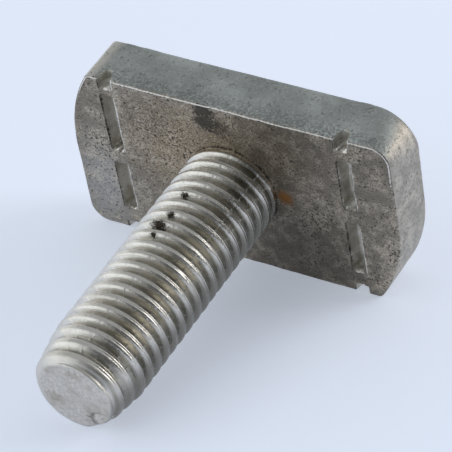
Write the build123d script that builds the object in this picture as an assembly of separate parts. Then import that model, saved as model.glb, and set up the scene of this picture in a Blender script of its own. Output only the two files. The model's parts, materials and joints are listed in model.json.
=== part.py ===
"""T-head slot bolt, M10 by 30, forged in one piece with a rolled thread.

The flat head goes lengthways through the slot of a channel and turns a quarter
turn behind its lips: two end corners are arcs about the shank so that it can
turn, and the straight half of each end stops it against the channel's wall.
Two cross grooves on the bearing face take the edges of the lips, and short
bridges left across each groove stop the bolt sliding along the channel.

Bolt frame, before the bolt is laid down: Z along the shank, away from the
head, with the bearing face at Z = 0; X along the head and Y across it.
"""

from build123d import *
from math import atan2, cos, degrees, radians, sin, sqrt
import os

# Shank and thread, mm
thread_diameter = 10.0
shank_length = 30.0
point_diameter = 8.1
taper_length = 4.5
taper_diameter = 8.6
point_bevel = 0.5
neck_fillet = 0.35

# Head, mm
head_length = 36.1
head_width = 19.7
head_thickness = 5.9
end_arc_radius = 17.6
front_corner_radius = 2.0
back_corner_radius = 4.3
sharp_corner_radius = 0.6
back_edge_fillet = 0.6
front_edge_bevel = 0.2

# Cross grooves and the bridges left in them, mm
groove_spacing = 26.0
groove_width = 1.55
groove_floor_width = 0.8
groove_depth = 1.45
bridge_spacing = 8.0
bridge_width = 1.5

# Places that follow from the sizes above
thread_radius = thread_diameter / 2
half_length = head_length / 2
half_width = head_width / 2
taper_start = shank_length - taper_length
taper_end = shank_length - point_bevel


def head_outline(corner_radius):
    """Head outline with two arc corners and two plain ones of this radius.

    Half of it is drawn, from the tangent of one sharp corner round to the
    next, and the other half is the same turned by 180 degrees about Z.
    """
    arc_centre = half_length - end_arc_radius
    inner_radius = end_arc_radius - sharp_corner_radius
    inner_depth = half_width - sharp_corner_radius
    blend_x = arc_centre + sqrt(inner_radius**2 - inner_depth**2)
    blend_angle = atan2(-inner_depth, blend_x - arc_centre)
    blend_end = (
        arc_centre + end_arc_radius * cos(blend_angle),
        end_arc_radius * sin(blend_angle),
    )
    mid_angle = (blend_angle + radians(-90)) / 2
    blend_mid = (
        blend_x + sharp_corner_radius * cos(mid_angle),
        -inner_depth + sharp_corner_radius * sin(mid_angle),
    )
    arc_mid = (
        arc_centre + end_arc_radius * cos(blend_angle / 2),
        end_arc_radius * sin(blend_angle / 2),
    )
    corner_x = half_length - corner_radius
    corner_y = half_width - corner_radius
    corner_mid = (
        corner_x + corner_radius * cos(radians(45)),
        corner_y + corner_radius * sin(radians(45)),
    )
    blend = ThreePointArc((blend_x, -half_width), blend_mid, blend_end)
    arc = ThreePointArc(blend_end, arc_mid, (half_length, 0))
    end = Line((half_length, 0), (half_length, corner_y))
    corner = ThreePointArc((half_length, corner_y), corner_mid, (corner_x, half_width))
    side = Line((corner_x, half_width), (-blend_x, half_width))
    half = Curve() + [blend, arc, end, corner, side]
    return make_face(half + Rot(Z=180) * half)


def make_head():
    """Forged head: the plain corners open out towards the back face."""
    front = head_outline(front_corner_radius)
    back = Pos(0, 0, -head_thickness) * head_outline(back_corner_radius)
    head = loft([back.face(), front.face()], ruled=True)
    head = fillet(head.faces().sort_by(Axis.Z)[0].edges(), back_edge_fillet)
    return chamfer(head.faces().sort_by(Axis.Z)[-1].edges(), front_edge_bevel)


def groove_pocket(start, end):
    """Cutter of one pocket of a groove, between two places across the head."""
    top = groove_width / 2
    floor = groove_floor_width / 2
    section = Plane.XZ.offset(-start) * Polygon(
        (-floor, -groove_depth),
        (floor, -groove_depth),
        (top, 0),
        (-top, 0),
        align=None,
    )
    return extrude(section, amount=end - start, dir=(0, 1, 0))


def make_grooves():
    """Cutters of both cross grooves, with the bridges left standing."""
    bridges = [place * bridge_spacing for place in (-1, 0, 1)]
    starts = [-half_width - groove_width] + [y + bridge_width / 2 for y in bridges]
    ends = [y - bridge_width / 2 for y in bridges] + [half_width + groove_width]
    pockets = [groove_pocket(start, end) for start, end in zip(starts, ends)]
    return [
        Pos(side * groove_spacing / 2, 0, 0) * pocket
        for side in (-1, 1)
        for pocket in pockets
    ]


def make_shank():
    """Shank at the thread's outside diameter, drawn in to the point."""
    profile = Polyline(
        (0, -head_thickness / 2),
        (thread_radius, -head_thickness / 2),
        (thread_radius, taper_start),
        (taper_diameter / 2, taper_end),
        (point_diameter / 2, shank_length),
        (0, shank_length),
        close=True,
    )
    return revolve(Plane.XZ * make_face(profile), Axis.Z)


def make_bolt():
    """The whole forging in the bolt frame."""
    bolt = make_head() + make_shank()
    neck = bolt.edges().filter_by(lambda edge: edge.is_closed)
    bolt = fillet(neck.filter_by_position(Axis.Z, 0, 0), neck_fillet)
    return bolt - make_grooves()


def rest_dip():
    """Angle by which the shank dips when the head and the shank both touch."""
    shank_corners = [
        (thread_radius, taper_start),
        (taper_diameter / 2, taper_end),
        (point_diameter / 2, shank_length),
    ]
    return min(
        atan2(half_width - radius, height + front_edge_bevel)
        for radius, height in shank_corners
    )


def lay_down(bolt):
    """Lay the bolt as it rests, on the bearing face's lower edge and the point.

    The shank points along -Y and dips until it meets the surface at Z = 0,
    and the origin is under the middle of the bolt's box.
    """
    laid = Rot(X=90 + degrees(rest_dip())) * bolt
    box = laid.bounding_box()
    middle = box.center()
    return Pos(-middle.X, -middle.Y, -box.min.Z) * laid


os.makedirs("parts", exist_ok=True)
export_step(lay_down(make_bolt()), "parts/t_slot_bolt.step")
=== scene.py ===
"""T-slot bolt, M10 by 30: the forged head, the rolled thread and a plain stage.

The bolt lies as it comes to rest. Shapes are worked out in millimetres in the
bolt's own frame and then laid in the CAD frame:
  x along the head, y across the head, z along the shank away from the head,
  with the bearing face at z = 0.
"""

import json

import bpy
import numpy as np
from mathutils import Matrix, Vector


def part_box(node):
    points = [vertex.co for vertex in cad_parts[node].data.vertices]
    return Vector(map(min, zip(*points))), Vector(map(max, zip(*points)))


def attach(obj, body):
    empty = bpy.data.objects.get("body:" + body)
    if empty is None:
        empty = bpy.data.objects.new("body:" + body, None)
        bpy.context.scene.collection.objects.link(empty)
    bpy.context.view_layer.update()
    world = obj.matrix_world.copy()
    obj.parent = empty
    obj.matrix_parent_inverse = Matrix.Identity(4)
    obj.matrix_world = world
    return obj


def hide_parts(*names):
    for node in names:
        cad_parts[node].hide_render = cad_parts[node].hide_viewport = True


bl_info = {
    "name": "T-slot bolt",
    "version": (1, 0, 0),
    "blender": (4, 5, 0),
    "location": "3D View > Sidebar > Bolt",
    "description": "Forged T-slot bolt with a rolled thread, on a plain stage",
    "category": "Add Mesh",
}

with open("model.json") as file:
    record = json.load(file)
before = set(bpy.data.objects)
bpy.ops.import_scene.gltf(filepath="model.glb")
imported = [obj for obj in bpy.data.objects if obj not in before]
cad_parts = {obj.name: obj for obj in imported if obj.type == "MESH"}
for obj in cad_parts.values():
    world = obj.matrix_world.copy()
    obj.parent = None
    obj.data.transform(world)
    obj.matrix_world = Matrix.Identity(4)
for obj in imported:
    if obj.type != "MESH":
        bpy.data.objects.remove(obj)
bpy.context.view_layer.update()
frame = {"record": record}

MM = 0.001
NODE = "t_slot_bolt"
THREAD_PITCH = 1.5 * MM

# The bolt's frame, from the places where it is fastened
mounts = {mount["name"]: mount for mount in frame["record"]["mounts"]}
BOX_LOW, BOX_HIGH = (np.array(corner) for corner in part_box(NODE))
SIDE = np.array([1.0, 0.0, 0.0])
AXIS = np.array(mounts["thread"]["axis"], float)
AXIS /= np.linalg.norm(AXIS)
ACROSS = np.cross(AXIS, SIDE)
back_place = np.array(mounts["back_face"]["pos_m"], float)
bearing_place = np.array(mounts["bearing_face"]["pos_m"], float)
HEAD_THICKNESS = float((bearing_place - back_place) @ AXIS)
ORIGIN = back_place + HEAD_THICKNESS * AXIS
HEAD_LENGTH = float(BOX_HIGH[0] - BOX_LOW[0])
FRONT_BEVEL = 0.2 * MM
HEAD_WIDTH = float(2 * (ORIGIN[2] - FRONT_BEVEL * AXIS[2]) / ACROSS[2])
THREAD_DIAMETER = 2 * MM * mounts["thread"]["dims"]["r_mm"]
POINT_DIAMETER = 0.81 * THREAD_DIAMETER
SHANK_LENGTH = float(
    (BOX_LOW[1] - ORIGIN[1] - ACROSS[1] * POINT_DIAMETER / 2) / AXIS[1]
)

# Where the pockets of the left and the right groove start and end across the
# head, in millimetres; 20 is past its edge
POCKETS = {
    -1: [(8.6, 20), (0.7, 7.8), (-7.15, -0.95), (-20, -8.85)],
    1: [(8.4, 20), (1.05, 7.25), (-7.1, -0.8), (-20, -8.75)],
}

# Marks on the bearing face: middle and reach along x and y, in millimetres
STAIN = (0.8, 3.8), (7.0, 4.6)
WARM_PATCH = (-5.6, 3.4), (4.6, 5.0)
DUSKY_PATCH = (-8.4, 5.6), (2.6, 1.8)
COOL_PATCH = (-15.6, -5.0), (2.6, 5.0)
# Painted shade: where the shank's shadow falls on the bearing face
SHANK_SHADOW_PATCH = (7.0, -7.2), (5.8, 6.4)
BLOTCH_TOP = (-1.9, 9.1), (1.2, 0.8)
BLOTCH_MIDDLE = (-1.9, 7.7), (1.1, 0.9)
BLOTCH_TAIL = (-0.5, 7.1), (1.2, 0.7)
RUST_SPOT = (5.75, 0.3), (0.75, 0.75)
# Dark ring round the shank's root: dirt and painted shade in the gap
NECK_RING = (0.0, 0.0), (4.85, 4.85)

# Marks on the flat point, in the same way
CHIP = (2.5, -2.7), (1.35, 1.35)
CHIP_FLOOR = (2.6, -2.8), (1.10, 1.10)
SMEARS = (((0.5, 2.6), (0.8, 0.48)), ((-2.2, -1.0), (0.9, 0.54)))

# Heights between which the chip and the duller shoulder of the point fade in
CHIP_BAND = 28.9, 29.2
SHOULDER_BAND = 28.6, 29.2

# Specks of dirt on the crests: turn in degrees, height and size in millimetres
SPECKS = (
    (100, 11.6, 0.50), (95, 9.95, 0.27), (97, 7.1, 0.28), (97, 12.9, 0.24), (98, 14.0, 0.16),
)
SPECK_RADIUS = 4.65

# Height of the fine relief of both skins
SKIN_RELIEF = 0.06 * MM

# The floor's shadow under the shank: middle and reach along x and z
UNDER_SHANK = (3.0, 11.0), (8.5, 20.0)
BLACK = (0.0, 0.0, 0.0)

# The stage, in metres: the floor's edges, and the place and size of each lamp
FLOOR_EDGES = {"left": -0.9, "right": 0.9, "near": -0.06, "far": 1.2}
KEY_LAMP = (-0.50, 0.12, 0.19), (0.80, 0.26)
SIDE_LAMP = (0.36, 0.29, 0.20), (0.26, 0.26)
CAMERA_SHIFT = 0.0072, -0.0043
AIM_FROM_ORIGIN = (0.0, -2.32 * MM, -3.02 * MM)


# -------------------- sizes


def length(name, description, default):
    """A length the user may change, in metres."""
    return bpy.props.FloatProperty(
        name=name, description=description, default=default, unit="LENGTH"
    )


def share(name, description, default):
    """A plain number from 0 to 1."""
    return bpy.props.FloatProperty(
        name=name, description=description, default=default, min=0, max=1, subtype="FACTOR"
    )


def colour(name, description, default):
    """A colour in linear light."""
    return bpy.props.FloatVectorProperty(
        name=name, description=description, default=default, min=0, max=4, size=3, subtype="COLOR"
    )


class HeadSizes(bpy.types.PropertyGroup):
    """Sizes of the forged head and of its cross grooves."""

    head_length: length("Length", "Length of the head, end to end", HEAD_LENGTH)
    head_width: length("Width", "Width of the head", HEAD_WIDTH)
    head_thickness: length("Thickness", "Thickness of the head", HEAD_THICKNESS)
    arc_radius: length("End arc", "Radius of the two arc corners", 17.6 * MM)
    sharp_radius: length("Sharp corner", "Radius where an arc meets a side", 0.6 * MM)
    front_corner: length("Front corner", "Plain corner at the bearing face", 2.0 * MM)
    back_corner: length("Back corner", "Plain corner at the back face", 4.3 * MM)
    back_fillet: length("Back edge", "Round of the back face's edge", 0.6 * MM)
    front_bevel: length("Front edge", "Worn bevel of the bearing face's edge", FRONT_BEVEL)
    groove_spacing: length("Groove spacing", "Between the two cross grooves", 26.0 * MM)
    groove_width: length("Groove width", "Width of a groove at its mouth", 1.55 * MM)
    groove_floor: length("Groove floor", "Width of a groove at its floor", 0.7 * MM)
    groove_depth: length("Groove depth", "Depth of a groove", 1.4 * MM)


class ShankSizes(bpy.types.PropertyGroup):
    """Sizes of the shank and its rolled thread."""

    diameter: length("Diameter", "Outside diameter of the thread", THREAD_DIAMETER)
    pitch: length("Pitch", "Distance from one crest to the next", THREAD_PITCH)
    depth: length("Depth", "Depth of the thread", 0.88 * MM)
    shank_length: length("Length", "From the bearing face to the point", SHANK_LENGTH)
    point_diameter: length("Point", "Diameter of the flat point", POINT_DIAMETER)
    taper_length: length("Taper", "Length over which the point is drawn in", 4.5 * MM)


class SteelLook(bpy.types.PropertyGroup):
    """Colours and finish of the steel."""

    forged: colour("Forged", "Dull skin of the bearing face", (0.46, 0.405, 0.33))
    flank: colour("Flank", "Pressed skin of the head's sides", (0.48, 0.44, 0.38))
    top: colour("Top", "Darker skin of the long side that faces up", (0.48, 0.50, 0.475))
    # Clean also paints highlights: on the front edge, on the grooves' lips and on the left end of
    # the sides
    clean: colour("Clean", "Bare metal on worn edges and in the grooves", (0.92, 0.89, 0.83))
    rolled: colour("Rolled", "Bright metal of the rolled thread", (0.74, 0.71, 0.65))
    # The film colour also paints shade: in the thread's roots and down its right side
    film_and_shade: colour("Film", "Brown film in the thread's roots", (0.47, 0.445, 0.385))
    stain: colour("Stain", "Brown stain round the shank", (0.25, 0.19, 0.12))
    # Grime also paints shade: the shank's shadow on the bearing face, the ring round its root, the
    # neck and the grooves' left edges
    grime_and_shade: colour("Grime", "Oily dirt in hollows", (0.060, 0.052, 0.042))
    brass: colour("Brass", "Warm bright flecks in the stain", (0.78, 0.60, 0.38))
    rust: colour("Rust", "Rust spot by the shank", (0.44, 0.18, 0.03))
    cool: colour("Cool", "Paler skin at the left end of the bearing face", (0.70, 0.72, 0.74))
    tarnish: colour("Tarnish", "Duller patches of the thread", (0.44, 0.40, 0.33))
    cut_dull: colour("Cut, dull", "Darker grain of the flat point", (0.64, 0.61, 0.57))
    cut_bright: colour("Cut, bright", "Lighter grain of the flat point", (0.80, 0.77, 0.72))
    cut_patch: colour("Cut, patches", "Brown patches of the flat point", (0.46, 0.40, 0.32))
    cut_smear: colour("Cut, smears", "Brown smears on the flat point", (0.40, 0.33, 0.25))
    roughness: share("Roughness", "Roughness of the forged skin", 0.50)


class StageLook(bpy.types.PropertyGroup):
    """Floor, lamps and camera."""

    floor: colour("Floor", "Colour of the floor", (0.76, 0.80, 0.94))
    glow: colour("Glow", "Light that the floor adds to its own picture", (0.34, 0.37, 0.41))
    sky: colour("Sky", "Tint of the even light", (0.90, 0.95, 1.0))
    backdrop: colour("Backdrop", "What the camera sees past the floor", (0.70, 0.79, 0.93))
    key_power: bpy.props.FloatProperty(
        name="Key", description="Power of the large soft lamp", default=0.22, unit="POWER"
    )
    side_power: bpy.props.FloatProperty(
        name="Side", description="Power of the lamp on the right", default=0.68, unit="POWER"
    )
    world: bpy.props.FloatProperty(
        name="World", description="Strength of the even light all round", default=0.45
    )
    front: share("Front", "Share of the even light that comes from the front", 0.25)
    left: share("Left", "Light that the left horizon adds to the even light", 0.24)
    window: share("Window", "Light that a wide window in front on the left adds", 0.55)
    lens: bpy.props.FloatProperty(
        name="Lens", description="Focal length of the camera", default=234.9, unit="CAMERA"
    )
    azimuth: bpy.props.FloatProperty(
        name="Azimuth", description="Turn of the view about the vertical",
        default=np.radians(32.322), subtype="ANGLE",
    )
    elevation: bpy.props.FloatProperty(
        name="Elevation", description="Angle from which the view looks down",
        default=np.radians(33.035), subtype="ANGLE",
    )
    roll: bpy.props.FloatProperty(
        name="Roll", description="Turn of the view about its own axis",
        default=np.radians(-3.583), subtype="ANGLE",
    )
    distance: length("Distance", "From the camera to the point it aims at", 285.745 * MM)


# -------------------- shapes


def noise(points, size, seed):
    """Smooth noise from -1 to 1: random values at the corners of a cubic
    lattice of this size, eased and blended between the eight round a point."""
    table = np.random.default_rng(seed).uniform(-1, 1, 8192)
    grid = points / size + 97.0
    cell = np.floor(grid).astype(np.int64)
    part = grid - cell
    part = part * part * (3 - 2 * part)
    total = np.zeros(points.shape[:-1])
    for corner in np.ndindex(2, 2, 2):
        place = cell + np.array(corner)
        key = place @ np.array([73856093, 19349663, 83492791])
        key = (key ^ (key >> 11)) % 8192
        weight = np.where(np.array(corner) == 1, part, 1 - part).prod(axis=-1)
        total += weight * table[key]
    return total


def ease(value):
    """Smooth step: 0 below 0, 1 above 1 and 3v^2 - 2v^3 between."""
    value = np.clip(value, 0, 1)
    return value * value * (3 - 2 * value)


def bump(value, centre, width):
    """Bell curve of height 1 at centre: exp(-((value - centre) / width)^2)."""
    return np.exp(-(((value - centre) / width) ** 2))


def lay(points):
    """Bolt millimetres to CAD metres: origin + x side + y across + z axis,
    held inside the CAD box."""
    placed = ORIGIN + MM * (points @ np.array([SIDE, ACROSS, AXIS]))
    return np.clip(placed, BOX_LOW, BOX_HIGH)


def grid_faces(index, flip=False):
    """Quads between neighbouring rows and columns of a grid of vertex numbers."""
    quads = np.stack(
        [index[:-1, :-1], index[:-1, 1:], index[1:, 1:], index[1:, :-1]], axis=-1
    ).reshape(-1, 4)
    return quads[:, ::-1] if flip else quads


def border(index):
    """Vertex numbers once round the edge of a grid, from its first corner."""
    return np.concatenate([index[0, :-1], index[:-1, -1], index[-1, :0:-1], index[:0:-1, 0]])


def add_mesh(name, points, faces, marks, material):
    """A mesh object at the origin from vertices, equal-sided faces and
    per-vertex marks, which its material reads as attributes."""
    mesh = bpy.data.meshes.new(name)
    sides = faces.shape[1]
    mesh.vertices.add(len(points))
    mesh.vertices.foreach_set("co", lay(points).astype(np.float32).ravel())
    mesh.loops.add(faces.size)
    mesh.loops.foreach_set("vertex_index", faces.astype(np.int32).ravel())
    mesh.polygons.add(len(faces))
    mesh.polygons.foreach_set("loop_start", np.arange(0, faces.size, sides, dtype=np.int32))
    mesh.polygons.foreach_set("use_smooth", np.ones(len(faces), bool))
    mesh.update(calc_edges=True)
    if mesh.validate():
        raise RuntimeError(f"{name} has broken faces")
    for mark, values in marks.items():
        layer = mesh.attributes.new(mark, "FLOAT", "POINT")
        layer.data.foreach_set("value", values.astype(np.float32).ravel())
    mesh.materials.append(material)
    piece = bpy.data.objects.new(name, mesh)
    bpy.context.scene.collection.objects.link(piece)
    return piece


# -------------------- head


def spread(places, step):
    """Sorted lines through all these places, no further apart than step."""
    places = np.unique(np.round(places, 4))
    runs = [
        np.linspace(a, b, max(int(np.ceil((b - a) / step)), 1), endpoint=False)
        for a, b in zip(places[:-1], places[1:])
    ]
    return np.append(np.concatenate(runs), places[-1])


def sharp_blend(half_length, half_width, arc_radius, sharp):
    """Where the arc's corner blend starts on the side, and its angles: a
    circle of radius sharp that touches the side and the arc from inside."""
    centre = half_length - arc_radius
    blend_x = centre + np.sqrt((arc_radius - sharp) ** 2 - (half_width - sharp) ** 2)
    angle = np.arctan2(sharp - half_width, blend_x - centre)
    return centre, blend_x, angle, (angle - np.pi / 2) / 2


def end_curve(part, half_length, half_width, arc_radius, sharp, corner):
    """One end by length, from the middle of its sharp corner (part 0) to the
    middle of its plain corner (part 1): blend, arc, straight, corner arc."""
    centre, blend_x, angle, middle = sharp_blend(half_length, half_width, arc_radius, sharp)
    runs = [sharp * (angle - middle), -arc_radius * angle, half_width - corner]
    ends = np.cumsum(runs)
    way = part * (ends[-1] + corner * np.pi / 4)
    turn_1 = middle + way / sharp
    turn_2 = angle + (way - ends[0]) / arc_radius
    turn_3 = (way - ends[2]) / corner
    cases = [way < ends[0], way < ends[1], way < ends[2]]
    x = np.select(
        cases,
        [blend_x + sharp * np.cos(turn_1), centre + arc_radius * np.cos(turn_2), half_length],
        half_length - corner + corner * np.cos(turn_3),
    )
    y = np.select(
        cases,
        [sharp - half_width + sharp * np.sin(turn_1), arc_radius * np.sin(turn_2), way - ends[1]],
        half_width - corner + corner * np.sin(turn_3),
    )
    return np.stack([x, y], axis=-1)


def sharp_side(part, start, half_length, half_width, arc_radius, sharp):
    """Side from start to the middle of the sharp corner: straight, then arc."""
    _, blend_x, _, middle = sharp_blend(half_length, half_width, arc_radius, sharp)
    straight = blend_x - start
    way = part * (straight + sharp * (middle + np.pi / 2))
    turn = -np.pi / 2 + (way - straight) / sharp
    x = np.where(way < straight, start + way, blend_x + sharp * np.cos(turn))
    y = np.where(way < straight, -half_width, sharp - half_width + sharp * np.sin(turn))
    return np.stack([x, y], axis=-1)


def plain_side(part, start, half_length, half_width, corner):
    """Side from start to the middle of the plain corner: straight, then arc."""
    flat = half_length - corner
    first = np.arcsin(np.clip((start - flat) / corner, 0, 1))
    straight = max(flat - start, 0)
    way = part * (straight + corner * (np.pi / 4 - first))
    turn = first + (way - straight) / corner
    x = np.where(way < straight, start + way, flat + corner * np.sin(turn))
    y = np.where(way < straight, half_width, half_width - corner + corner * np.cos(turn))
    return np.stack([x, y], axis=-1)


def plain_height(x, half_length, half_width, corner):
    """Half width at x: straight, then falling along the plain corner's arc."""
    past = np.clip(x - (half_length - corner), 0, corner)
    return half_width - corner + np.sqrt(corner**2 - past**2)


class HeadGrid:
    """Lines of the head's grid and its outline at any level."""

    def __init__(self, sizes):
        self.half_length = sizes.head_length / MM / 2
        self.half_width = sizes.head_width / MM / 2
        self.thickness = sizes.head_thickness / MM
        self.arc_radius = sizes.arc_radius / MM
        self.sharp = sizes.sharp_radius / MM
        groove = sizes.groove_spacing / MM / 2
        wide, floor = sizes.groove_width / MM / 2, sizes.groove_floor / MM / 2
        margin, column_step, row_step, end_columns = 0.25, 0.17, 0.18, 27
        steps = np.array([-wide - margin, -wide - 0.05, -wide, -(wide + floor) / 2, -floor])
        steps = np.concatenate([steps, [0], -steps])
        self.start = groove + wide + margin
        self.middle = spread(np.concatenate([[0], groove + steps, -groove + steps]), column_step)
        self.outer = np.linspace(0, 1, end_columns)
        # Rows that follow the ends of the pockets on both halves
        ends = np.array([0.65, 0.8, 0.95, 1.1, 7.05, 7.2, 7.35, 7.8, 8.4, 8.55, 8.7, 8.85, 9.0])
        sides = [0, self.half_width, -self.half_width]
        self.rows = spread(np.concatenate([sides, ends, -ends]), row_step)
        self.rise = (self.rows + self.half_width) / (2 * self.half_width)

    def outline(self, inset, corner):
        """Bottom, top, left and right edges of the head's outline at one level,
        drawn in by inset; each half is the other turned by 180 degrees."""
        length, width = self.half_length - inset, self.half_width - inset
        arc, sharp = self.arc_radius - inset, max(self.sharp - inset, 0.12)
        plain = corner - inset
        right = end_curve(self.rise, length, width, arc, sharp, plain)
        low_side = sharp_side(self.outer, self.start, length, width, arc, sharp)
        high_side = plain_side(self.outer, self.start, length, width, plain)
        inner = self.middle[1:-1]
        falling = plain_height(np.abs(inner), length, width, plain)
        tops = np.where(inner > 0, falling, width)
        lows = -np.where(inner < 0, falling, width)
        bottom = np.concatenate([-high_side[::-1], np.stack([inner, lows], -1), low_side])
        top = np.concatenate([-low_side[::-1], np.stack([inner, tops], -1), high_side])
        return bottom, top, -right[::-1], right

    def fill(self, edges):
        """Points between the four edges: straight lines across in the middle,
        and at each end the sum of both blends less the blend of its corners."""
        bottom, top, left, right = edges
        rise = self.rise[:, None, None]
        field = (1 - rise) * bottom[None] + rise * top[None]
        count = len(self.outer) - 1
        for columns, curve, part in (
            (slice(0, count + 1), left, 1 - self.outer),
            (slice(-count - 1, None), right, self.outer),
        ):
            near = field[:, count if curve is left else -count - 1][:, None]
            part = part[None, :, None]
            block = field[:, columns]
            ends = (1 - part) * near + part * curve[:, None]
            corner = (1 - rise) * ends[:1] + rise * ends[-1:]
            field[:, columns] = block + ends - corner
        field[:, 0], field[:, -1] = left, right
        return field


def groove_hollow(points, sizes):
    """Depth of the cross grooves: a tapered trough across each groove times a
    flat-topped wave along it, which falls to nothing at the bridges."""
    x, y = points[..., 0], points[..., 1]
    spacing = sizes.groove_spacing / MM / 2
    wide, floor = sizes.groove_width / MM / 2, sizes.groove_floor / MM / 2
    low_ramp, high_ramp = 0.22, 0.3
    depth = np.zeros(x.shape)
    wander = 0.05 * noise(np.stack([y, 0 * y, 0 * y], -1), 1.3, 5)
    for side, pockets in POCKETS.items():
        off = np.abs(x - side * spacing + wander)
        across = np.clip((wide - off) / (wide - floor), 0, 1) ** 0.9
        along = np.zeros(y.shape)
        ragged = 0.12 * noise(np.stack([x, y, 0 * y + side * 3], -1), 0.5, 9)
        for start, end in pockets:
            ramp = np.minimum((y - start + ragged) / low_ramp, (end - y + ragged) / high_ramp)
            along = np.maximum(along, ease(ramp))
        depth = np.maximum(depth, across * along)
    return depth * sizes.groove_depth / MM


def groove_burrs(points, sizes):
    """Thin raised lips along the grooves: bells beside each mouth, times
    noise along it so that they come and go."""
    x, y = points[..., 0], points[..., 1]
    spacing = sizes.groove_spacing / MM / 2
    wide = sizes.groove_width / MM / 2
    line = np.stack([y, 0 * y, np.sign(x)], -1)
    rough = ease(0.6 + 0.9 * noise(line, 0.7, 21))
    lips = np.zeros(x.shape)
    for side in (-1, 1):
        lips += 0.06 * bump(x, side * spacing + wide + 0.06, 0.07) * rough
        lips += 0.03 * bump(x, side * spacing - wide - 0.08, 0.08) * (1 - rough)
    return lips


def forged_skin(points):
    """Unevenness of the forging: the same three-way noise for every face, in
    slow waves, smaller dents and a fine grain."""
    waves = [(6.0, 0.035), (2.2, 0.022), (0.8, 0.012), (0.35, 0.006)]
    shift = np.zeros(points.shape)
    for number, (size, height) in enumerate(waves):
        for way in range(3):
            shift[..., way] += height * noise(points, size, 31 + 7 * number + way)
    return shift


def head_surface(sizes):
    """The head as one closed skin: a bearing-face grid, rings down the sides
    from the worn front bevel to the round back edge, and a back-face grid."""
    lines = HeadGrid(sizes)
    thick = lines.thickness
    bevel, fillet = sizes.front_bevel / MM, sizes.back_fillet / MM
    front_corner, back_corner = sizes.front_corner / MM, sizes.back_corner / MM
    wall = np.linspace(-bevel, fillet - thick, 20)
    round_angle = np.radians(np.linspace(0, 90, 8)[1:])
    # Height of each ring and how far it is drawn in: bevel, wall, back round
    levels = [(0.0, bevel), (-0.12 * bevel, 0.62 * bevel), (-0.42 * bevel, 0.24 * bevel)]
    levels += [(z, 0.0) for z in wall]
    levels += [
        (fillet * (1 - np.sin(a)) - thick, fillet * (1 - np.cos(a))) for a in round_angle
    ]
    columns, rows = len(lines.middle) + 2 * len(lines.outer) - 2, len(lines.rows)
    rings = []
    for z, inset in levels:
        corner = front_corner + (back_corner - front_corner) * min(-z / thick, 1)
        bottom, top, left, right = lines.outline(inset, corner)
        ring = np.concatenate([bottom[:-1], right[:-1], top[:0:-1], left[:0:-1]])
        rings.append(np.column_stack([ring, np.full(len(ring), z)]))
        if z == 0.0:
            face = lines.fill((bottom, top, left, right))
    rings = np.array(rings)
    back = lines.fill((bottom, top, left, right))

    face = np.dstack([face, -groove_hollow(face, sizes) + groove_burrs(face, sizes)])
    back = np.dstack([back, np.full(back.shape[:2], -thick)])

    notch = groove_hollow(rings[0], sizes) * (np.abs(rings[0][:, 1]) > lines.half_width - 1)
    rings[..., 2] = -notch + rings[..., 2] * (thick - notch) / thick

    ring_length = rings.shape[1]
    face_index = np.arange(rows * columns).reshape(rows, columns)
    rim = border(face_index)
    inner = rings[1:-1].reshape(-1, 3)
    side_index = rows * columns + np.arange(len(inner)).reshape(-1, ring_length)
    back_index = rows * columns + len(inner) + np.arange(rows * columns).reshape(rows, columns)
    around = np.vstack([rim, side_index, border(back_index)])
    around = np.hstack([around, around[:, :1]])
    points = np.concatenate([face.reshape(-1, 3), inner, back.reshape(-1, 3)])
    faces = np.concatenate(
        [grid_faces(face_index), grid_faces(around, flip=True), grid_faces(back_index, flip=True)]
    )
    rim_share = np.zeros(len(points))
    rim_share[rim] = 1
    rim_share[side_index[:1]] = 1
    points = points + forged_skin(points)
    return points, faces, rim_share


def head_marks(points, rim, sizes):
    """What the head's finish follows: wear with a painted highlight along the front edge, fainter
    on its lower half and round the left arc; bare metal inside the grooves; dirt and painted shade
    along their left edges; and painted highlights on the lips along the right edges and at the
    lower ends of their pockets. Each is found by looking for a groove's hollow a little to one
    side of a point."""
    x, y, z = points.T
    hollow = groove_hollow(points, sizes)
    inside = ease(hollow / 0.5) * ease(1 + (z + hollow) / 0.2)
    on_face = ease(1 + z / 0.35)
    spacing, wide = sizes.groove_spacing / MM / 2, sizes.groove_width / MM / 2
    right_edge = sum(bump(x, side * spacing + wide + 0.05, 0.10) for side in (-1, 1))
    right_edge = right_edge * ease(groove_hollow(points - [0.2, 0, 0], sizes) / 0.4)
    # Painted highlight where a pocket's lower end wall faces up
    above = groove_hollow(points + [0, 0.14, 0], sizes)
    below = groove_hollow(points - [0, 0.14, 0], sizes)
    lip_highlight = right_edge * (1 - inside) + 0.9 * ease((above - below - 0.25) / 0.5)
    # Dirt and painted shade along the left edge of each groove
    left_edge = ease(groove_hollow(points + [0.12, 0, 0], sizes) / 0.4)
    upper_half = ease((y - 3.0) / 5.0)
    left_arc = ease((-x - 15.5) / 1.5)
    # Wear on the front edge with a painted highlight, stronger on the upper half
    edge = rim * (0.5 + 0.5 * upper_half) * (1 - inside) * (1 - 0.45 * left_arc)
    return {
        "groove": np.clip(inside, 0, 1),
        "dirt_and_shade": np.clip(left_edge * (1 - inside) * on_face, 0, 1),
        "lip_highlight": np.clip(lip_highlight * on_face, 0, 1),
        "edge": np.clip(edge, 0, 1),
    }


# -------------------- shank


def thread_form(phase, seam_share):
    """Thread height from 0 at the root to 1 at the crest, for a phase of one
    turn: flanks that start steep at a narrow root and roll over a full crest,
    mostly as the sine of a quarter turn, less a shallow seam in its middle."""
    half_root, half_crest = 0.06, 0.09
    off = np.abs((phase + 0.5) % 1 - 0.5)
    flank = np.clip((0.5 - off - half_root) / (0.5 - half_root - half_crest), 0, 1)
    form = 0.15 * ease(flank) + 0.85 * np.sin(flank * np.pi / 2)
    return form - 0.075 * bump(off, 0, 0.028) * seam_share


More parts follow.
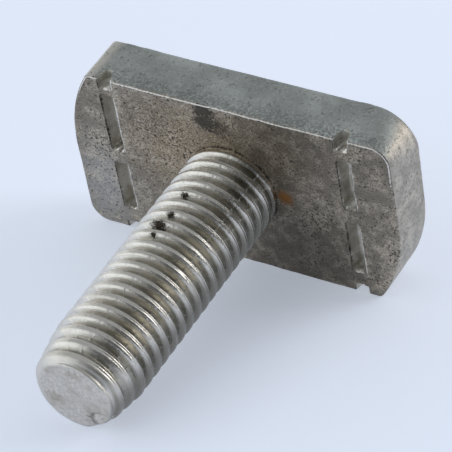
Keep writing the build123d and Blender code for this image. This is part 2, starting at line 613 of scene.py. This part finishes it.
def worn_point(points, length):
    """The flat point as it is cut: a slightly uneven face, and a chip on its
    lower right rim that sinks in with a ragged floor. The sinking is the
    chip's share of its depth less the unevenness, and fades out up the shank."""
    chip_x, chip_y, chip_reach, chip_depth = 2.4, -2.9, 1.5, 0.32
    away = np.hypot(points[:, 0] - chip_x, points[:, 1] - chip_y)
    chip = ease((chip_reach - away + 0.5 * noise(points, 0.7, 83)) / 0.5)
    chip = chip * (0.8 + 0.6 * noise(points, 0.35, 89))
    uneven = 0.03 * noise(points, 1.4, 85) + 0.012 * noise(points, 0.4, 87)
    sunk = (chip_depth * chip - uneven + 0.02) * ease((points[:, 2] - length + 0.8) / 0.7)
    return points - np.column_stack([0 * sunk, 0 * sunk, sunk])


def shank_surface(sizes):
    """The threaded shank: rings along the axis and steps round it. Each point
    slides along the axis by less than a ring so that it sits at a fixed phase
    of the helix, and the radius is the envelope less what the thread form
    leaves out. The last ring closes on the flat point and the first inside the
    head."""
    pitch, depth = sizes.pitch / MM, sizes.depth / MM
    radius, length = sizes.diameter / MM / 2, sizes.shank_length / MM
    point, taper = sizes.point_diameter / MM / 2, sizes.taper_length / MM
    per_pitch, steps, crowding = 18, 150, 0.6
    first = -2.0
    count = int(round((length - first) / pitch * per_pitch))
    z = np.linspace(first, length, count + 1)[:, None]
    angle = np.linspace(0, 2 * np.pi, steps, endpoint=False)[None]
    ring = pitch / per_pitch
    phase_zero = 0.14
    phase = z / pitch - angle / (2 * np.pi) - phase_zero
    slide = -((phase * per_pitch + 0.5) % 1 - 0.5) * ring
    fade = ease((length - 0.3 - z) / 0.9) * ease((z - first) / 0.5)
    wave = 2 * np.pi * (phase + slide / pitch)
    z = z + (slide - crowding * pitch * np.sin(wave) / (2 * np.pi)) * fade
    phase = z / pitch - angle / (2 * np.pi) - phase_zero

    direction = np.dstack([np.cos(angle) + 0 * z, np.sin(angle) + 0 * z])
    place = np.dstack([radius * direction, z])
    taper_end, bevel = 0.86 * radius, 0.5
    envelope = radius + np.interp(
        z, [length - taper, length - bevel, length], [0, taper_end - radius, point - radius]
    )
    envelope += 0.02 * noise(place, 2.0, 71) - 0.02
    run_out = ease((length - 0.45 - z) / 0.8)
    start = ease((z - 0.25) / 0.6)
    height = thread_form(phase, 0.6 + 0.5 * noise(place, 3.0, 73))
    root = np.minimum(radius - depth, envelope - 0.45)
    thread = root + (envelope - root) * height
    near_point = envelope - 0.35 * (1 - height) * (1 - run_out)
    r = np.where(run_out >= 1, thread, run_out * thread + (1 - run_out) * near_point)
    collar = radius - 0.12 + 0.05 * noise(place, 0.9, 75)
    r = start * r + (1 - start) * collar
    r += 0.008 * noise(place, 0.5, 77) + 0.004 * noise(place, 0.22, 79)

    points = np.dstack([r * direction[..., 0], r * direction[..., 1], z])
    shares = np.linspace(1, 0, 12)[1:-1]
    tip = points[-1]
    disc = [np.column_stack([tip[:, :2] * s, tip[:, 2]]) for s in shares]
    base = points[0]
    total = len(points) * steps
    index = np.arange(total).reshape(-1, steps)
    disc_index = total + np.arange(len(disc) * steps).reshape(-1, steps)
    index = np.vstack([index, disc_index])
    index = np.hstack([index, index[:, :1]])
    a, b, c, d = index[:-1, :-1], index[:-1, 1:], index[1:, 1:], index[1:, :-1]
    faces = np.concatenate(
        [np.stack([a, b, d], -1).reshape(-1, 3), np.stack([b, c, d], -1).reshape(-1, 3)]
    )
    ends = [[0, 0, tip[:, 2].mean()], [0, 0, base[:, 2].mean()]]
    points = np.concatenate([points.reshape(-1, 3), np.array(disc).reshape(-1, 3), ends])
    top, bottom = len(points) - 2, len(points) - 1
    last, zero = index[-1], index[0]
    caps = np.concatenate(
        [
            np.stack([last[:-1], last[1:], np.full(steps, top)], -1),
            np.stack([zero[1:], zero[:-1], np.full(steps, bottom)], -1),
        ]
    )
    at_point = points[:, 2] > length - 0.8
    points[at_point] = worn_point(points[at_point], length)
    # Crests and the flat point are bare; the roots get brown film with painted shade
    bared = np.maximum(height, 1 - run_out * start)
    marks = np.concatenate([bared.ravel(), np.ones(len(points) - total)])
    flat = np.concatenate([np.zeros(total), np.ones(len(points) - total)])
    return points, np.concatenate([faces, caps]), {"crest": marks, "flat": flat}


# -------------------- materials


def shade(tone, level):
    """A colour made darker or lighter, by one level for all three parts."""
    return tuple(level * part for part in tone)


class Value:
    """An output socket of a node, with the operators that let shader maths be
    written as a Python expression: each adds its own Math node."""

    def __init__(self, tree, socket):
        self.tree, self.socket = tree, socket

    def maths(self, operation, one, two, clamp=False):
        settings = {"operation": operation, "use_clamp": clamp}
        return self.tree.node("Math", settings, [one, two])

    def __add__(self, other):
        return self.maths("ADD", self, other)

    __radd__ = __add__

    def __sub__(self, other):
        return self.maths("SUBTRACT", self, other)

    def __rsub__(self, other):
        return self.maths("SUBTRACT", other, self)

    def __mul__(self, other):
        return self.maths("MULTIPLY", self, other)

    def __truediv__(self, other):
        return self.maths("DIVIDE", self, other)

    def __pow__(self, other):
        return self.maths("POWER", self, other)

    def clip(self):
        """The same value, held between 0 and 1."""
        return self.maths("MULTIPLY", self, 1.0, clamp=True)


class Finish:
    """The nodes of a material or a world, with one method that makes any node."""

    def __init__(self, owner):
        owner.use_nodes = True
        self.owner = owner
        self.nodes = owner.node_tree.nodes
        self.links = owner.node_tree.links
        self.nodes.clear()

    def node(self, kind, settings=None, sockets=None, output=0):
        """A node of this type: its settings first, then values or links."""
        node = self.nodes.new("ShaderNode" + kind)
        for name, value in (settings or {}).items():
            setattr(node, name, value)
        if isinstance(sockets, dict):
            pairs = sockets.items()
        else:
            pairs = enumerate(sockets or [])
        for name, value in pairs:
            socket = node.inputs[name]
            if isinstance(value, Value):
                self.links.new(value.socket, socket)
            elif socket.type == "RGBA" and len(value) == 3:
                socket.default_value = (*value, 1.0)
            else:
                socket.default_value = value
        return Value(self, node.outputs[output]) if node.outputs else node

    def place(self):
        """Object coordinates turned into the bolt's frame, in millimetres:
        x along the head, y across it and z along the shank."""
        coordinate = self.node("TexCoord", output="Object")
        shifted = self.node(
            "VectorMath", {"operation": "SUBTRACT"}, [coordinate, tuple(ORIGIN)]
        )
        parts = [self.along(shifted, way / MM) for way in (SIDE, ACROSS, AXIS)]
        return self.node("CombineXYZ", None, parts), parts

    def along(self, vector, way):
        """How far a vector goes along a way: their dot product."""
        return self.node("VectorMath", {"operation": "DOT_PRODUCT"}, [vector, tuple(way)], "Value")

    def noise(self, where, scale, detail, roughness, distortion=0.0):
        """Fractal noise from 0 to 1; scale is in waves per millimetre."""
        sockets = {
            "Vector": where,
            "Scale": scale,
            "Detail": detail,
            "Roughness": roughness,
            "Distortion": distortion,
        }
        return self.node("TexNoise", None, sockets, "Fac")

    def step(self, value, start, end, low=0.0, high=1.0):
        """Smooth step of a value from low at start to high at end."""
        sockets = {
            "Value": value,
            "From Min": start,
            "From Max": end,
            "To Min": low,
            "To Max": high,
        }
        return self.node("MapRange", {"interpolation_type": "SMOOTHSTEP"}, sockets)

    def spot(self, parts, centre, size, ragged, edge):
        """Round mark about a place, 1 inside and 0 outside: the distance in
        sizes, which is the root of the summed squares of each part less its
        centre over its size, plus a raggedness, stepped down past 1."""
        squares = [((part - c) / s) ** 2.0 for part, c, s in zip(parts, centre, size)]
        total = squares[0]
        for square in squares[1:]:
            total = total + square
        return self.step(total ** 0.5 + ragged, 1.0 + edge, 1.0 - edge)

    def mix(self, factor, one, two):
        """Colour one turned towards colour two by a factor."""
        sockets = {"Factor": factor, 6: one, 7: two}
        return self.node("Mix", {"data_type": "RGBA"}, sockets, 2)

    def coats(self, base, *coats):
        """Colours laid over a base one after another, each by its factor."""
        for factor, tone in coats:
            base = self.mix(factor, base, tone)
        return base

    def mark(self, name):
        """A per-vertex mark of the piece."""
        return self.node("Attribute", {"attribute_name": name}, output="Fac")

    def bump(self, height, strength):
        """Fine relief of the surface that follows this height."""
        sockets = {"Height": height, "Distance": SKIN_RELIEF, "Strength": strength}
        return self.node("Bump", None, sockets)

    def close(self, **sockets):
        """A plain shader with these sockets set, and the material's output."""
        names = {key.replace("_", " "): value for key, value in sockets.items()}
        shader = self.node("BsdfPrincipled", None, names)
        self.node("OutputMaterial", None, {"Surface": shader})
        return self.owner


def forged_steel(look):
    """Dull forged skin: warm grey metal with flecks and dark pits on the bearing face; stains, a
    blotch and a rust spot round the shank; painted shade of the shank on the face, and dirt with
    painted shade in a ring at its root; dirt with painted shade and bare metal along the grooves;
    worn edges and lips with painted highlights; and smoother, greener sides with painted light at
    their left end."""
    m = Finish(bpy.data.materials.new("forged_steel"))
    where, (x, y, z) = m.place()
    broad = m.noise(where, 0.16, 4.0, 0.6)
    cloud = m.noise(where, 0.7, 5.0, 0.62)
    grain = m.noise(where, 4.2, 3.0, 0.65)
    fleck = m.noise(where, 7.5, 2.0, 0.6)
    speck = m.noise(where, 3.4, 3.0, 0.6, 0.4)
    drift, grit = cloud - 0.5, grain - 0.5
    ragged = drift * 1.6
    frayed = ragged * 1.3 + grit * 1.8
    side = m.step(z, -0.06, -0.16)
    front = 1.0 - side
    rear = m.step(z, -5.2, -5.8)
    upper = side * m.step(y, 8.6, 9.5) * m.step(x, -14.6, -13.4)
    left_arc = m.step(x, -13.6, -14.4) * m.step(y, 1.0, 5.0)
    groove = m.mark("groove")

    # Skin of the bearing face
    patchy = m.step(cloud + (broad - 0.5) * 0.6, 0.36, 0.66)
    base = m.mix(patchy, shade(look.forged, 0.66), shade(look.forged, 1.28))
    base = m.mix(m.step(grain, 0.42, 0.60) * 0.65 + patchy * 0.35, shade(look.forged, 0.52), base)
    base = m.mix(m.step(fleck, 0.56, 0.70) * (0.25 + patchy * 0.35), base, shade(look.forged, 1.9))

    # Skin of the other sides, and of the long side that faces up
    dull = m.step(cloud + grit * 0.6, 0.34, 0.70)
    flank = m.coats(
        m.mix(dull, shade(look.flank, 0.74), shade(look.flank, 1.24)),
        (rear * 0.72, shade(look.flank, 0.86)),
        # Painted light on the left end of the sides, which faces the light on the left
        (left_arc * 0.7, shade(look.clean, 0.85)),
    )
    strip = m.step(z + drift * 3.0, -2.6, -0.8) * m.step(grain, 0.62, 0.42)
    pressed = m.coats(
        m.mix(m.step(broad, 0.35, 0.65), shade(look.top, 0.82), shade(look.top, 1.18)),
        (strip * 0.6, shade(look.top, 0.50)),
        (m.step(grain, 0.50, 0.66) * 0.30, shade(look.top, 1.5)),
    )
    base = m.coats(base, (side, flank), (upper, pressed))

    # Stains, patches and the blotch round the shank; painted shade of the shank, and dirt with
    # painted shade in the ring at its root
    stain = m.spot((x, y), *STAIN, ragged, 0.7) * front
    warm = m.spot((x, y), *WARM_PATCH, ragged, 0.8) * front
    dusky = m.spot((x, y), *DUSKY_PATCH, ragged * 1.5, 0.7) * front
    cool = m.spot((x, y), *COOL_PATCH, ragged, 0.7) * front
    # Painted shade of the shank on the bearing face, to its right
    painted_shade = m.spot((x, y), *SHANK_SHADOW_PATCH, ragged * 0.6, 0.6) * front
    blotch = m.spot((x, y), *BLOTCH_TOP, frayed, 0.25)
    blotch = blotch + m.spot((x, y), *BLOTCH_MIDDLE, frayed, 0.25)
    blotch = blotch + m.spot((x, y), *BLOTCH_TAIL, frayed * 1.3, 0.4) * 0.7
    # Dirt and painted shade in a ring round the shank's root
    ring = m.spot((x, y), *NECK_RING, ragged * 0.16 + grit * 0.40, 0.03) * front
    base = m.coats(
        base,
        (stain * m.step(grain, 0.40, 0.60, 0.26, 0.03), look.stain),
        (stain * m.step(fleck, 0.56, 0.66) * 0.8, look.brass),
        (warm * m.step(grain, 0.62, 0.40, 0.1, 0.55), shade(look.stain, 1.45)),
        (warm * m.step(speck, 0.50, 0.58) * 0.45, shade(look.stain, 0.7)),
        (warm * m.step(fleck, 0.57, 0.63) * 0.75, shade(look.brass, 1.15)),
        (dusky * m.step(grain, 0.58, 0.44) * 0.5, shade(look.grime_and_shade, 1.8)),
        (cool * 0.24, look.cool),
        (painted_shade * 0.66, shade(look.grime_and_shade, 1.4)),
        (blotch.clip() * 0.85 * front, look.grime_and_shade),
        (ring * 0.75, look.grime_and_shade),
    )

    # Pits, rust, the grooves with dirt and painted shade at their left edges, and metal worn bare
    # with painted highlights on edges and lips
    pits = m.step(speck + m.step(broad, 0.52, 0.66) * 0.06, 0.595, 0.65) * (1.0 - side * 0.45)
    rust = m.spot((x, y), *RUST_SPOT, ragged * 0.7, 0.8) * front
    hollow = m.mix(m.step(cloud, 0.40, 0.62), shade(look.film_and_shade, 1.15), shade(look.clean, 0.80))
    # Dirt and painted shade along the grooves' left edges
    dirt_and_shade = m.step(m.mark("dirt_and_shade") + grit * 2.2, 0.5, 1.0)
    # Front edge worn bare, with a painted highlight
    worn = m.step(m.mark("edge") + grit * 1.5, 0.62, 0.92)
    # Painted highlight on the lips along the right edges and at the pockets' lower ends
    lip_highlight = m.step(m.mark("lip_highlight") + grit * 1.4 + drift * 1.4, 0.42, 0.88)
    bright = (worn + lip_highlight * 0.8).clip()
    base = m.coats(
        base,
        (pits * 0.85, look.grime_and_shade),
        (rust * 0.9, look.rust),
        (groove, hollow),
        (dirt_and_shade, shade(look.grime_and_shade, 0.6)),
        (bright, look.clean),
    )

    rough = look.roughness + drift * 0.25 - bright * 0.18 + rust * 0.3 + upper * 0.08 - rear * 0.08
    relief = grain * 0.5 + fleck * 0.25 - pits * 0.8 + cloud * 0.6
    normal = m.bump(relief * (1.0 - groove * 0.7), 0.9)
    metal = (1.0 - rust * 0.8 - stain * 0.15 - worn * 0.5).clip()
    return m.close(Base_Color=base, Metallic=metal, Roughness=rough.clip(), Normal=normal)


def rolled_steel(look):
    """Rolled thread: bright metal with streaks along the helix; brown film with painted shade in
    the roots; painted shade down the right side; dirt with painted shade at the neck; dark specks
    on a few crests; and a dull flat point with a bright chip."""
    m = Finish(bpy.data.materials.new("rolled_steel"))
    where, (x, y, z) = m.place()
    cloud = m.noise(where, 0.55, 4.0, 0.6)
    grain = m.noise(where, 3.0, 4.0, 0.65)
    fine = m.noise(where, 9.0, 2.0, 0.6)
    drift, grit = cloud - 0.5, grain - 0.5
    turn = m.node("Math", {"operation": "ARCTAN2"}, [y, x])
    climb = z - turn * (THREAD_PITCH / MM / (2 * np.pi))
    streak = m.noise(m.node("CombineXYZ", None, [turn * 0.9, climb * 7.0, 0.0]), 1.0, 3.0, 0.6)
    crest = m.mark("crest")
    flat = m.mark("flat")
    round_side = 1.0 - flat

    # Thread: brown film with painted shade in the roots, bare crests, painted shade down the right
    # side, and dirt with painted shade at the neck
    # Roots: brown film with painted shade
    film_and_shade = m.mix(m.step(cloud, 0.35, 0.7), shade(look.film_and_shade, 0.8), shade(look.film_and_shade, 1.3))
    # Painted shade: the crests are kept dull down the right side
    painted_shade = m.step(x, 0.5, 3.5) * round_side
    bared = m.step(crest + (streak - 0.5) * 0.4, 0.12 + painted_shade * 0.55, 0.55 + painted_shade * 0.43)
    # Dirt and painted shade in the gap at the neck
    neck_dirt_and_shade = m.step(z + grit, 0.14, 0.06)
    neck_dirt_and_shade = neck_dirt_and_shade + m.step(z + grit * 1.2, 0.46, 0.54) * m.step(z, 0.78, 0.66) * 0.6
    base = m.coats(
        film_and_shade,
        (bared, look.rolled),
        (m.step(cloud, 0.45, 0.75) * 0.30, look.tarnish),
        (m.step(streak, 0.56, 0.75) * 0.35, shade(look.film_and_shade, 0.6)),
        # Painted shade down the right side of the thread
        (m.step(x - y * 0.5, 3.2, 5.0) * 0.87 * round_side, shade(look.film_and_shade, 0.45)),
        (neck_dirt_and_shade.clip() * 0.8, look.grime_and_shade),
    )

    # Flat point with its patches, smears and chip
    patch = m.step(cloud + grit * 0.5, 0.50, 0.66)
    cut = m.mix(m.step(grain, 0.35, 0.65), look.cut_dull, look.cut_bright)
    cut = m.mix(patch * 0.45, cut, look.cut_patch)
    for smear in SMEARS:
        cut = m.mix(m.spot((x, y), *smear, grit * 2.2, 0.5) * 0.35, cut, look.cut_smear)
    frayed = drift * 1.2 + grit * 0.9
    at_point = m.step(z, *CHIP_BAND)
    chip = m.spot((x, y), *CHIP, frayed, 0.12) * at_point
    core = m.spot((x, y), *CHIP_FLOOR, frayed, 0.12) * at_point
    base = m.coats(
        base,
        (flat, cut),
        ((chip - core).clip() * 0.45, shade(look.grime_and_shade, 1.5)),
        (core * m.step(fine, 0.45, 0.60) * 0.8, look.clean),
    )

    # Specks of dirt
    dots = m.step(grain, 0.68, 0.75) * 0.5
    ragged = grit * 2.0 + (fine - 0.5) * 2.8
    for turned, height, size in SPECKS:
        angle = np.radians(turned)
        centre = (SPECK_RADIUS * np.cos(angle), SPECK_RADIUS * np.sin(angle), height)
        dots = dots + m.spot((x, y, z), centre, (1.4 * size, 1.5 * size, size), ragged, 0.25)
    base = m.mix(dots.clip() * 0.98, base, shade(look.stain, 0.16))

    rough = 0.23 + drift * 0.2 + (streak - 0.5) * 0.25 + flat * 0.28 + dots * 0.3
    rough = rough + (1.0 - crest) * 0.10 + m.step(z, *SHOULDER_BAND) * 0.18
    relief = grain * (0.4 + core * 2.5) + fine * 0.4 + streak * 0.8 - dots * 0.8 - chip * 1.2
    normal = m.bump(relief, 0.8)
    return m.close(Base_Color=base, Metallic=1.0, Roughness=rough.clip(), Normal=normal)


def floor_paint(look):
    """Plain pale floor: what the lamps light, plus an even glow that only the
    camera and reflections see. The glow is a little dimmer under the shank, so
    that the shadow there stays soft but doesn't fade."""
    m = Finish(bpy.data.materials.new("stage_floor"))
    _, (x, _, z) = m.place()
    seen = m.node("LightPath", output="Is Camera Ray")
    mirrored = m.node("LightPath", output="Is Glossy Ray")
    below = m.spot((x, z), *UNDER_SHANK, 0.0, 0.7)
    glow = m.mix((seen + mirrored).clip() * (1.0 - below * 0.2), BLACK, look.glow)
    return m.close(
        Base_Color=look.floor,
        Roughness=0.9,
        Specular_IOR_Level=0.2,
        Emission_Color=glow,
        Emission_Strength=1.0,
    )


def studio_light(look):
    """Even light all round, dim in front, brighter along the left horizon and
    from a wide window in front on the left; the camera sees it as pale as the
    floor."""
    m = Finish(bpy.data.worlds.new("world"))
    way = m.node("TexCoord", output="Generated")
    seen = m.node("LightPath", output="Is Camera Ray")
    behind = m.along(way, (-0.75, 0.65, 0.1))
    left = m.along(way, (-1.0, 0.0, 0.0))
    up = m.along(way, (0.0, 0.0, 1.0))
    window = m.along(way, (-0.62, -0.74, 0.25))
    level = m.step(behind, -0.65, -0.15, look.front * look.world, look.world)
    level = level + m.step(left, 0.15, 0.6, 0.0, look.left) * m.step(up, 0.60, 0.20)
    level = level + m.step(window, 0.72, 0.92, 0.0, look.window)
    tone = m.mix(seen, look.sky, look.backdrop)
    light = m.node("Background", None, [tone, level * (1.0 - seen) + seen])
    m.node("OutputWorld", None, {"Surface": light})
    return m.owner


# -------------------- operators


class BOLT_OT_head(bpy.types.Operator):
    """Build the forged head in place of the CAD solid."""

    bl_idname = "bolt.head"
    bl_label = "Forged head"

    def execute(self, context):
        scene = context.scene
        points, faces, rim = head_surface(scene.bolt_head)
        marks = head_marks(points, rim, scene.bolt_head)
        piece = add_mesh("forged_head", points, faces, marks, forged_steel(scene.bolt_steel))
        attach(piece, "root")
        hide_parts(NODE)
        return {"FINISHED"}


class BOLT_OT_shank(bpy.types.Operator):
    """Build the shank with its rolled thread."""

    bl_idname = "bolt.shank"
    bl_label = "Threaded shank"

    def execute(self, context):
        scene = context.scene
        points, faces, marks = shank_surface(scene.bolt_shank)
        piece = add_mesh("threaded_shank", points, faces, marks, rolled_steel(scene.bolt_steel))
        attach(piece, "root")
        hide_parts(NODE)
        return {"FINISHED"}


def add_area(name, place, size, power):
    """An area lamp at a place that faces the bolt's middle."""
    lamp = bpy.data.lights.new(name, "AREA")
    lamp.shape, lamp.size, lamp.size_y = "RECTANGLE", size[0], size[1]
    lamp.energy = power
    holder = bpy.data.objects.new(name, lamp)
    holder.location = place
    facing = Vector((BOX_LOW + BOX_HIGH) / 2) - Vector(place)
    holder.rotation_euler = facing.to_track_quat("-Z", "Y").to_euler()
    bpy.context.scene.collection.objects.link(holder)


def add_camera(look):
    """The camera: it looks along its azimuth and elevation at a point in the
    bolt's middle, from its distance, turned by its roll."""
    camera = bpy.data.cameras.new("camera")
    camera.lens, camera.sensor_width = look.lens, 36.0
    camera.clip_start, camera.clip_end = 0.01, 10.0
    camera.shift_x, camera.shift_y = CAMERA_SHIFT
    level = np.cos(look.elevation)
    forward = Vector(
        (-np.sin(look.azimuth) * level, np.cos(look.azimuth) * level, -np.sin(look.elevation))
    )
    right = forward.cross(Vector((0, 0, 1))).normalized()
    right = Matrix.Rotation(-look.roll, 3, forward) @ right
    turn = Matrix((right, right.cross(forward), -forward)).transposed().to_4x4()
    aim = Vector((0.0, ORIGIN[1], ORIGIN[2])) + Vector(AIM_FROM_ORIGIN)
    eye = bpy.data.objects.new("camera", camera)
    eye.matrix_world = Matrix.Translation(aim - forward * look.distance) @ turn
    bpy.context.scene.collection.objects.link(eye)
    bpy.context.scene.camera = eye


class BOLT_OT_stage(bpy.types.Operator):
    """Lay the floor, hang the lamps and set the camera."""

    bl_idname = "bolt.stage"
    bl_label = "Stage"

    def execute(self, context):
        scene, look = context.scene, context.scene.bolt_stage
        left, right, near, far = FLOOR_EDGES.values()
        corners = [(left, near, 0), (right, near, 0), (right, far, 0), (left, far, 0)]
        mesh = bpy.data.meshes.new("floor")
        mesh.from_pydata(corners, [], [(0, 1, 2, 3)])
        mesh.materials.append(floor_paint(look))
        floor = bpy.data.objects.new("floor", mesh)
        scene.collection.objects.link(floor)

        add_area("key", *KEY_LAMP, look.key_power)
        add_area("side", *SIDE_LAMP, look.side_power)
        scene.world = studio_light(look)
        add_camera(look)
        scene.view_settings.view_transform = "Standard"
        return {"FINISHED"}


class BOLT_PT_sidebar(bpy.types.Panel):
    """The bolt's pieces and their sizes."""

    bl_label = "T-slot bolt"
    bl_idname = "BOLT_PT_sidebar"
    bl_space_type = "VIEW_3D"
    bl_region_type = "UI"
    bl_category = "Bolt"

    def draw(self, context):
        layout = self.layout
        for operator in (BOLT_OT_head, BOLT_OT_shank, BOLT_OT_stage):
            layout.operator(operator.bl_idname)
        for name in GROUPS:
            group = getattr(context.scene, name)
            box = layout.box()
            box.label(text=group.bl_rna.name)
            for field in group.bl_rna.properties.keys():
                if field not in ("rna_type", "name"):
                    box.prop(group, field)


GROUPS = {
    "bolt_head": HeadSizes,
    "bolt_shank": ShankSizes,
    "bolt_steel": SteelLook,
    "bolt_stage": StageLook,
}
CLASSES = (
    HeadSizes,
    ShankSizes,
    SteelLook,
    StageLook,
    BOLT_OT_head,
    BOLT_OT_shank,
    BOLT_OT_stage,
    BOLT_PT_sidebar,
)


def register():
    """Register the classes and hang their settings on the scene."""
    for item in CLASSES:
        bpy.utils.register_class(item)
    for name, group in GROUPS.items():
        setattr(bpy.types.Scene, name, bpy.props.PointerProperty(type=group))


def unregister():
    """Take the settings off the scene and the classes out again."""
    for name in GROUPS:
        delattr(bpy.types.Scene, name)
    for item in reversed(CLASSES):
        bpy.utils.unregister_class(item)


def main():
    """Register the add-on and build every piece."""
    register()
    bpy.ops.bolt.stage()
    bpy.ops.bolt.head()
    bpy.ops.bolt.shank()
    bpy.context.view_layer.update()


if __name__ == "__main__":
    main()
